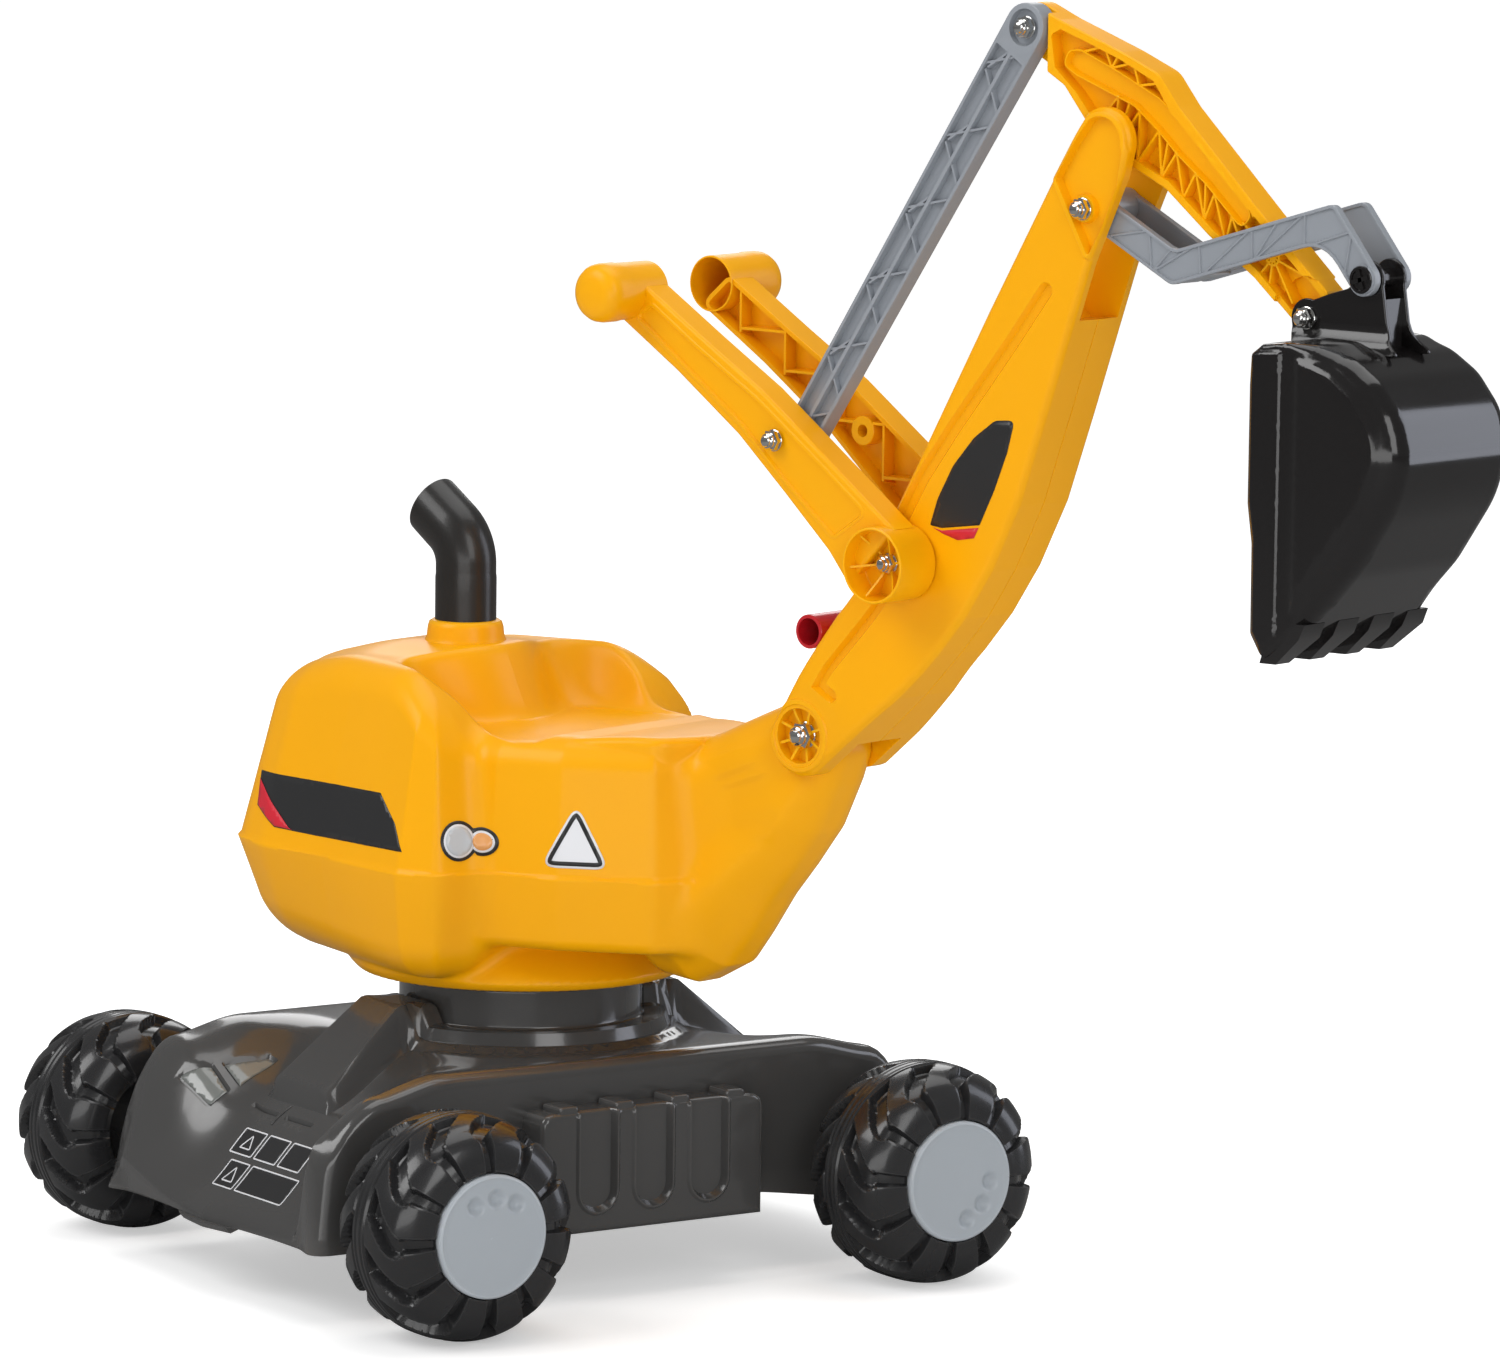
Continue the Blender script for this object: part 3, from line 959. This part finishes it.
# ---- bucket ----
def carved(solid, cutter):
    """Points and faces of one closed mesh less another, both in millimetres."""
    made = [mesh_object("carving", *mesh, MERGE * 1000) for mesh in (solid, cutter)]
    cut = made[0].modifiers.new("cut", "BOOLEAN")
    cut.operation, cut.solver, cut.object = "DIFFERENCE", "EXACT", made[1]
    result = made[0].evaluated_get(bpy.context.evaluated_depsgraph_get()).to_mesh()
    verts = np.array([tuple(v.co) for v in result.vertices])
    faces = [list(p.vertices) for p in result.polygons]
    for obj in made:
        mesh = obj.data
        bpy.data.objects.remove(obj)
        bpy.data.meshes.remove(mesh)
    return verts, faces


BUCKET_EDGE = rounded([(548, 551.5), (541, 546), (540.2, 530), (540.2, 470), (543.2, 450), (543.5, 404),
    (552, 390.5), (576, 408), (604, 438), (628, 474), (634, 500), (628, 520), (614, 537), (598, 547),
    (580, 552.5), (562, 553)], [3, 3, 0, 14, 14, 5, 5, 10, 60, 60, 30, 30, 30, 30, 30, 10], 6)
CHEEK_PANEL = rounded([(568, 548), (591, 544), (609, 532), (622, 514), (625, 497), (616, 472), (592, 441),
    (568, 411)], [4, 24, 24, 24, 24, 40, 40, 4], 6)
LIP_BAND = rounded([(541.5, 548), (561.5, 549.5), (561.5, 403), (551, 395), (545, 405), (544.6, 452),
    (541.6, 471)], 2.5, 3)


def shoulder(v):
    """Rounding of the bucket's sides: sharp at the mouth, wide round the back."""
    return 2.5 + 11.0 * smoothstep(v[:, 0], 562, 592)


def inner_shoulder(v):
    return 0.6 + 10.4 * smoothstep(v[:, 0], 562, 592)


def foot_flare(v):
    """The neck's plates spread where they meet the bucket."""
    return -5.0 * (1 - smoothstep(v[:, 1], bz - 13, bz - 1)) ** 2


faced = [(CHEEK_PANEL, 1.9, 5.5), (LIP_BAND, 1.3, 2.2)]
tray = standing(BUCKET_EDGE, 52.0, -1, thickness=104.0, front=faced, back=faced, edge=13.5, spacing=3.2,
    soft=shoulder)
mouth = rounded([(520, 549), (520, 393), (549.5, 394.5), (574, 412), (601, 441), (624.5, 475.5),
    (630.6, 499), (625, 518), (612, 533.5), (597, 543.5), (579, 549.3), (561, 549.9)],
    [0, 0, 2, 10, 60, 60, 30, 30, 30, 30, 30, 10], 6)
hollow = standing(mouth, 49.0, -1, thickness=98.0, edge=11.0, spacing=6.0, soft=inner_shoulder)
bx, bz = BUCKET_AT
NECK = rounded([(bx + 62, bz - 16), (bx + 53.5, bz - 9), (bx + 50, bz)]
    + arc((bx + 38, bz + 22), 9.6, -20, 140, 16) + [(bx + 27, bz + 17), (bx + 15, bz + 13.5)]
    + arc(BUCKET_AT, 10.0, 70, 190, 12) + [(bx - 8.5, bz - 8), (bx - 4, bz - 16)], [2, 10, 8] + [0] * 17
    + [6, 5] + [0] * 13 + [2, 2], 4)
neck_parts = [standing(NECK, 10.3, side, thickness=2.4, edge=0.7, spacing=3.0, shift=foot_flare,
    front=[(circle((bx + 38, bz + 22), 8.4, 40), -0.4, 0.4)]) for side in (-1, 1)]
for x, low, high in ((15, -14, -7), (33, -14, 8), (44.2, -14, 12)):
    wall = box_loop(bx + x, bx + x + 2.2, bz + low, bz + high)
    neck_parts.append(standing(wall, 8.3, -1, thickness=16.6, edge=0.4, spacing=5.0))
for y in (-44, -15, 15, 44):
    blade = [(579.5, 411.5, 8.6), (576.0, 403.5, 9.0), (559.5, 389.4, 5.8), (549.0, 389.2, 5.4),
        (550.5, 393.5, 5.6), (574.0, 411.5, 8.6)]
    verts = [(x, y + s * h, z) for s in (-1, 1) for x, z, h in blade]
    faces = [list(range(6)), list(range(11, 5, -1))] + [[i, (i + 1) % 6, (i + 1) % 6 + 6, i + 6]
        for i in range(6)]
    neck_parts.append((np.array(verts), faces))
make_piece("toothed_bucket", *merged(carved(tray, hollow), *neck_parts), BLACK, "bucket", ["bucket"],
    sharp=36)


# ---- exhaust ----
def exhaust():
    """A swept pipe: upright, one bend, and a slanting open mouth."""
    bend = 25.0
    path = [(EXHAUST_X, z, 90.0) for z in (353.0, 353.5, 355, 362, 370, 377, 379, 381)]
    for k in range(1, 21):
        a = 90.0 + 54.0 * k / 20
        c, s = math.cos(math.radians(a)), math.sin(math.radians(a))
        path.append((EXHAUST_X - bend * (1 - s), 384.0 - bend * c, a))
    x, z, a = path[-1]
    path += [(x + c * 19.0 * k / 8, z + s * 19.0 * k / 8, a + 9.0 * k / 8) for k in range(1, 9)]
    rows = [(x, z, a, 17.2 if z < 378 and a < 91 else 16.95) for x, z, a in path]
    x, z, a, _ = rows[-1]
    c, s = math.cos(math.radians(a)), math.sin(math.radians(a))
    rows += [(x + c * 0.5, z + s * 0.5, a, 16.3), (x + c * 0.5, z + s * 0.5, a, 14.9), (x, z, a, 14.4)]
    rows += [(x, z, a, 14.2) for x, z, a, _ in reversed(rows[12:-3])]
    rows.append((*rows[-1][:3], 0.001))
    sides = 72
    turn = np.arange(sides) * 2 * math.pi / sides
    verts = [np.tile([EXHAUST_X, 0, path[0][1]], (sides, 1))]
    for x, z, a, r in rows:
        n, out = math.radians(a - 90), r * np.cos(turn)
        verts.append(np.column_stack([x + out * math.cos(n), r * np.sin(turn), z + out * math.sin(n)]))
    return np.concatenate(verts), ring_faces(len(verts), sides)


stub = turned_mesh([(0, 324), (12.8, 324), (12.8, 356), (0, 356)], 48, (EXHAUST_X, 0, 0), (0, 0, 1),
    closed=False)
make_piece("exhaust_sweep", *merged(exhaust(), stub), PIPE, "upper", ["exhaust_pipe"], sharp=40)

# ---- travel lock ----
lock_tube = across(bush(7.3, 9.2, 22, 0.4), LOCK_GRIP, 1, 64)
lock_wall = across([(0, -1), (7.6, -1), (7.6, 1), (0, 1)], LOCK_GRIP, 1, 48)
lock_arm = standing(ribbon([LOCK_GRIP, LOCK_AT], 5.0, 6.5), 6.0, -1, thickness=12.0, edge=1.4, spacing=3.0,
    front=[(ribbon([(233, 374), (245, 376)], 2.4), -1.6, 0.8)])
make_piece("lock_handle", *merged(lock_tube, lock_wall, lock_arm), RED, "lock_lever", ["lock_lever"],
    sharp=40)

# ---- acorn nuts ----
# profiles of the seat ring, the hexagon and the dome, in thread radii
ACORN = (([(0, 0), (1.95, 0), (1.95, 0.18), (1.8, 0.26), (0, 0.26)], 48),
    ([(0, 0.2), (1.74, 0.2), (1.92, 0.32), (1.92, 1.25), (1.62, 1.5), (0, 1.5)], 6),
    ([(0, 1.4), (1.42, 1.4), (1.42, 1.85), (1.3, 2.05), (1.02, 2.2), (1, 2.4), (0.85, 2.62), (0.5, 2.77),
    (0, 2.8)], 48))
for name, at, face, r, body in (("boom_pivot", BOOM_FOOT, 26.9, 3.8, "boom"),
        ("lever_pivot", LEVER_AT, 38.35, 3.0, "boom"), ("link_pivot", LINK_AT, 23.35, 3.0, "boom"),
        ("rod_foot", ROD_FOOT, 45.35, 3.0, "right_lever"), ("rod_head", ROD_HEAD, 9.8, 3.0, "stick"),
        ("bucket", BUCKET_AT, 10.65, 3.0, "bucket")):
    verts, faces = merged(*(across([(x * r, h * r) for x, h in profile], at, -1, sides) for profile,
        sides in ACORN))
    verts[:, 1] -= face
    make_piece("acorn_" + name, verts, faces, CHROME, body, [name + "_nut"], sharp=28)


# ---- side markings: plain shapes, no lettering ----
def film(name, surface, starts, faces, facing, material, body, lift):
    """Thin film laid where rays from the starting points, sent against `facing`, meet a surface."""
    n = Vector(facing)
    verts = [tuple(surface.ray_cast(Vector(p), -n, 400)[0] + n * lift) for p in starts]
    add_wall(make_piece(name, verts, faces, material, body, sharp=60, weight=False), "film", FILM)


def sticker(name, surface, centre, facing, outline, material, body, lift=0.2, hole=None, spacing=2.4):
    """Film with an outline (right, up) about a centre, as seen against `facing`."""
    n = np.array(facing, float) / np.linalg.norm(facing)
    right = np.cross([0.0, 0.0, 1.0], n)
    right /= np.linalg.norm(right)
    up = np.cross(n, right)
    v, f = triangulate_outline(outline, [], spacing, [hole] if hole else [])
    starts = [np.array(centre) + right * a + up * b + n * 60 for a, b in v]
    film(name, surface, starts, f.tolist(), n, material, body, lift)


def tree(verts, faces):
    return BVHTree.FromPolygons([tuple(v) for v in verts], [list(f) for f in faces])


body_tree = tree(*body_mesh)
FLASH = [(-120.6, 264.5), (-83, 241.8), (-80, 241.2), (-96, 241.2), (-117.6, 250.5)]
BADGE = [(-121.4, 268.6), (-5, 270.6), (12, 256), (21, 241.8), (-60, 240.6), (-96.4, 240.6), (-118.4, 250)]
SIGN = rounded([(0, 19.8), (-19.5, -15.5), (19.5, -15.5)], 5, 6)
BLADE = rounded([(366, 497), (361.5, 480), (353, 459), (343.6, 440.2), (318, 436.6), (310, 437.5),
    (315, 452), (325, 470), (339, 486), (353, 496)], [3, 20, 40, 0.5, 0.5, 1, 20, 20, 20, 8], 3)
STRIP = [(343.0, 438.8), (340, 433), (329, 431), (319, 433.6), (312, 436.4), (318, 435.2)]
LAMPS = (("clear", 0, 0, 9.2, STICKER_LAMP), ("amber", 12.8, -0.7, 6.0, STICKER_AMBER))
LAMP_BASE = arc((0, 0), 11.0, 36, 324, 24) + arc((12.8, -0.7), 7.8, -110, 110, 18)
for side, tag in SIDES:
    out, boom_tree = -side, tree(*BOOM_TREES[side])
    for name, surface, x0, z0, y, loop, mat, body, lift in (("badge_", body_tree, 0, 250, 80, BADGE,
            STICKER, "upper", 0.2), ("badge_flash_", body_tree, 0, 250, 80, FLASH, STICKER_RED, "upper",
            0.6), ("boom_badge_", boom_tree, 338, 465, 0, BLADE, STICKER, "boom", 0.2),
            ("boom_strip_", boom_tree, 338, 465, 0, STRIP, STICKER_RED, "boom", 0.2)):
        sticker(name + tag, surface, (x0, side * y, z0), (0, side, 0),
            [(out * (x - x0), z - z0) for x, z in loop], mat, body, lift, spacing=3.0)
    at, facing = (45.5, side * 100.5, 248.3), (0.88, side * 0.47, 0.04)
    base = [(out * x, z) for x, z in LAMP_BASE]
    sticker("lamp_base_" + tag, body_tree, at, facing, base, STICKER, "upper", 0.3)
    for name, cx, cz, r, mat in LAMPS:
        rim, lens = circle((out * cx, cz), r, 32), circle((out * cx, cz), r - 1.2, 32)
        sticker("lamp_%s_rim_%s" % (name, tag), body_tree, at, facing, rim, STICKER_PALE, "upper", 0.55)
        sticker("lamp_%s_%s" % (name, tag), body_tree, at, facing, lens, mat, "upper", 0.8)
    at, facing = (103.5, side * 71.0, 252.0), (0.46, side * 0.89, 0.0)
    sticker("sign_" + tag, body_tree, at, facing, SIGN, STICKER_PALE, "upper", 0.25)
    sticker("sign_border_" + tag, body_tree, at, facing, inset(SIGN, 1.3), STICKER, "upper", 0.4,
        inset(SIGN, 3.6))

# empty outlined boxes and glazed panes on the end slopes of the deck
deck_tree = tree(base_frame(deck_v), deck_f)
BOXES = [(-32, 11.5, 11.5, 8.5), (-6.5, 11.5, 11.5, 8.5), (19, 11.5, 11.5, 8.5), (-26, -9.5, 10.5, 9),
    (12, -9.5, 25, 9)]
for end, tag in ((-1, "rear"), (1, "front")):
    at, ahead = base_frame([(end * 178, end * 22, 69), (end * 0.72, 0, 0.69)])
    labels = []
    for k, (u, w, a, b) in enumerate(BOXES):
        loop = rounded(box_loop(u - a, u + a, w - b, w + b), 1.2, 3)
        labels += [("fill", k, loop, STICKER, 0.15, None), ("box", k, loop, STICKER_PALE, 0.3,
            inset(loop, 0.9))]
        if k in (0, 3):
            sign = rounded([(u, w + b - 3), (u - 6, w - b + 4), (u + 6, w - b + 4)], 1, 2)
            labels.append(("sign", k, sign, STICKER_PALE, 0.3, inset(sign, 0.9)))
    for kind, k, loop, mat, lift, hole in labels:
        sticker("label_%s_%s_%d" % (kind, tag, k), deck_tree, at, ahead, loop, mat, "chassis", lift, hole,
            3.0)
    for k, pane in enumerate(PANES):
        v, f = triangulate_outline(inset(pane, 1.7), [], 2.0)
        over = base_frame([(end * x, -end * y, 200) for x, y in v])
        film("glazed_pane_%s_%d" % (tag, k), deck_tree, over, f.tolist(), (0, 0, 1), GLAZED, "chassis", 0.9)

# ---- stage, light and camera ----
AWAY = (-0.653, 0.757, 0.0)  # level direction from the camera towards the object
floor_mesh = bpy.data.meshes.new("floor")
floor_mesh.from_pydata([(-40, -20, 0), (40, -20, 0), (40, 60, 0), (-40, 60, 0)], [], [[0, 1, 2, 3]])
floor = linked("floor", floor_mesh)
floor_paint = node_material("floor_paint", (0.86, 0.86, 0.86), 0.8, bump=0.0, mottle=0.004, spec=0.1)
floor_mesh.materials.append(floor_paint)
# the floor is lit up for the camera alone, and is darker in reflections
paint = floor_paint.node_tree
seen = add_node(paint, "LightPath").outputs
place = add_node(paint, "NewGeometry").outputs["Position"]
ahead = add_node(paint, "VectorMath", {0: place, 1: AWAY}, operation="DOT_PRODUCT")
fade = add_node(paint, "MapRange", {"From Min": -0.35, "From Max": 0.55, "To Min": 0.31, "To Max": 0.62,
    "Value": ahead.outputs["Value"]})
lift = add_node(paint, "Math", {0: seen["Is Camera Ray"], 1: fade.outputs["Result"]}, operation="MULTIPLY")
shader = paint.nodes["Principled BSDF"]
wire(paint, shader, {"Emission Color": (1, 1, 1, 1), "Emission Strength": lift.outputs["Value"]})
dark_floor = add_node(paint, "BsdfDiffuse", {"Color": (0.22, 0.22, 0.22, 1)})
either = add_node(paint, "MixShader", {"Fac": seen["Is Glossy Ray"], 1: shader.outputs["BSDF"],
    2: dark_floor.outputs["BSDF"]})
wire(paint, paint.nodes["Material Output"], {"Surface": either.outputs["Shader"]})


def area_light(name, at, target, size, power, color=(1, 1, 1)):
    data = bpy.data.lights.new(name, "AREA")
    data.shape = "RECTANGLE"
    data.size, data.size_y = size
    data.energy = power
    data.color = color
    lamp = linked(name, data)
    lamp.location = at
    lamp.rotation_euler = (Vector(target) - Vector(at)).to_track_quat("-Z", "Y").to_euler()
    return lamp


area_light("key_softbox", (-1.2, -2.2, 2.6), (0, 0, 0.3), (1.8, 1.8), 40)
area_light("right_softbox", (2.6, -1.2, 1.6), (0.1, 0, 0.35), (1.2, 2.0), 20)
area_light("top_softbox", (0.0, 0.6, 3.0), (0, 0, 0.2), (2.4, 2.4), 28)
area_light("back_softbox", (-2.2, 2.4, 1.8), (0, 0, 0.3), (1.6, 1.6), 16)
area_light("low_fill", (1.6, -2.6, 0.35), (0, 0, 0.25), (2.6, 0.9), 16)
bucket_softbox = area_light("bucket_softbox", (1.55, 1.65, 0.82), (0.42, 0, 0.5), (0.8, 2.2), 13,
    (0.84, 0.88, 1.0))
bucket_softbox.visible_diffuse = False

world = bpy.data.worlds.new("studio")
bpy.context.scene.world = world
world.use_nodes = True
sky = world.node_tree
ray = add_node(sky, "LightPath").outputs
dim = add_node(sky, "MapRange", {"To Min": 0.50, "To Max": 0.16, "Value": ray["Is Glossy Ray"]})
strength = add_node(sky, "Mix", {"A": dim.outputs["Result"], "B": 1.0, "Factor": ray["Is Camera Ray"]})
wire(sky, sky.nodes["Background"], {"Color": (1, 1, 1, 1), "Strength": strength.outputs["Result"]})

camera_data = bpy.data.cameras.new("camera")
camera_data.sensor_width = 36.0
camera_data.lens = 196.13
camera_data.clip_end = 60.0
camera = linked("camera", camera_data)
CAMERA_RIGHT = Vector((0.75615, 0.65428, 0.01227)).normalized()
CAMERA_AHEAD = Vector((-0.64731, 0.75059, -0.13268)).normalized()
turn = Matrix((CAMERA_RIGHT, CAMERA_RIGHT.cross(CAMERA_AHEAD), -CAMERA_AHEAD)).transposed().to_4x4()
turn.translation = Vector((3.03305, -3.32424, 0.92373)) + Vector(SLEW) / 1000
camera.matrix_world = turn
bpy.context.scene.camera = camera
bpy.context.scene.view_settings.view_transform = "Standard"
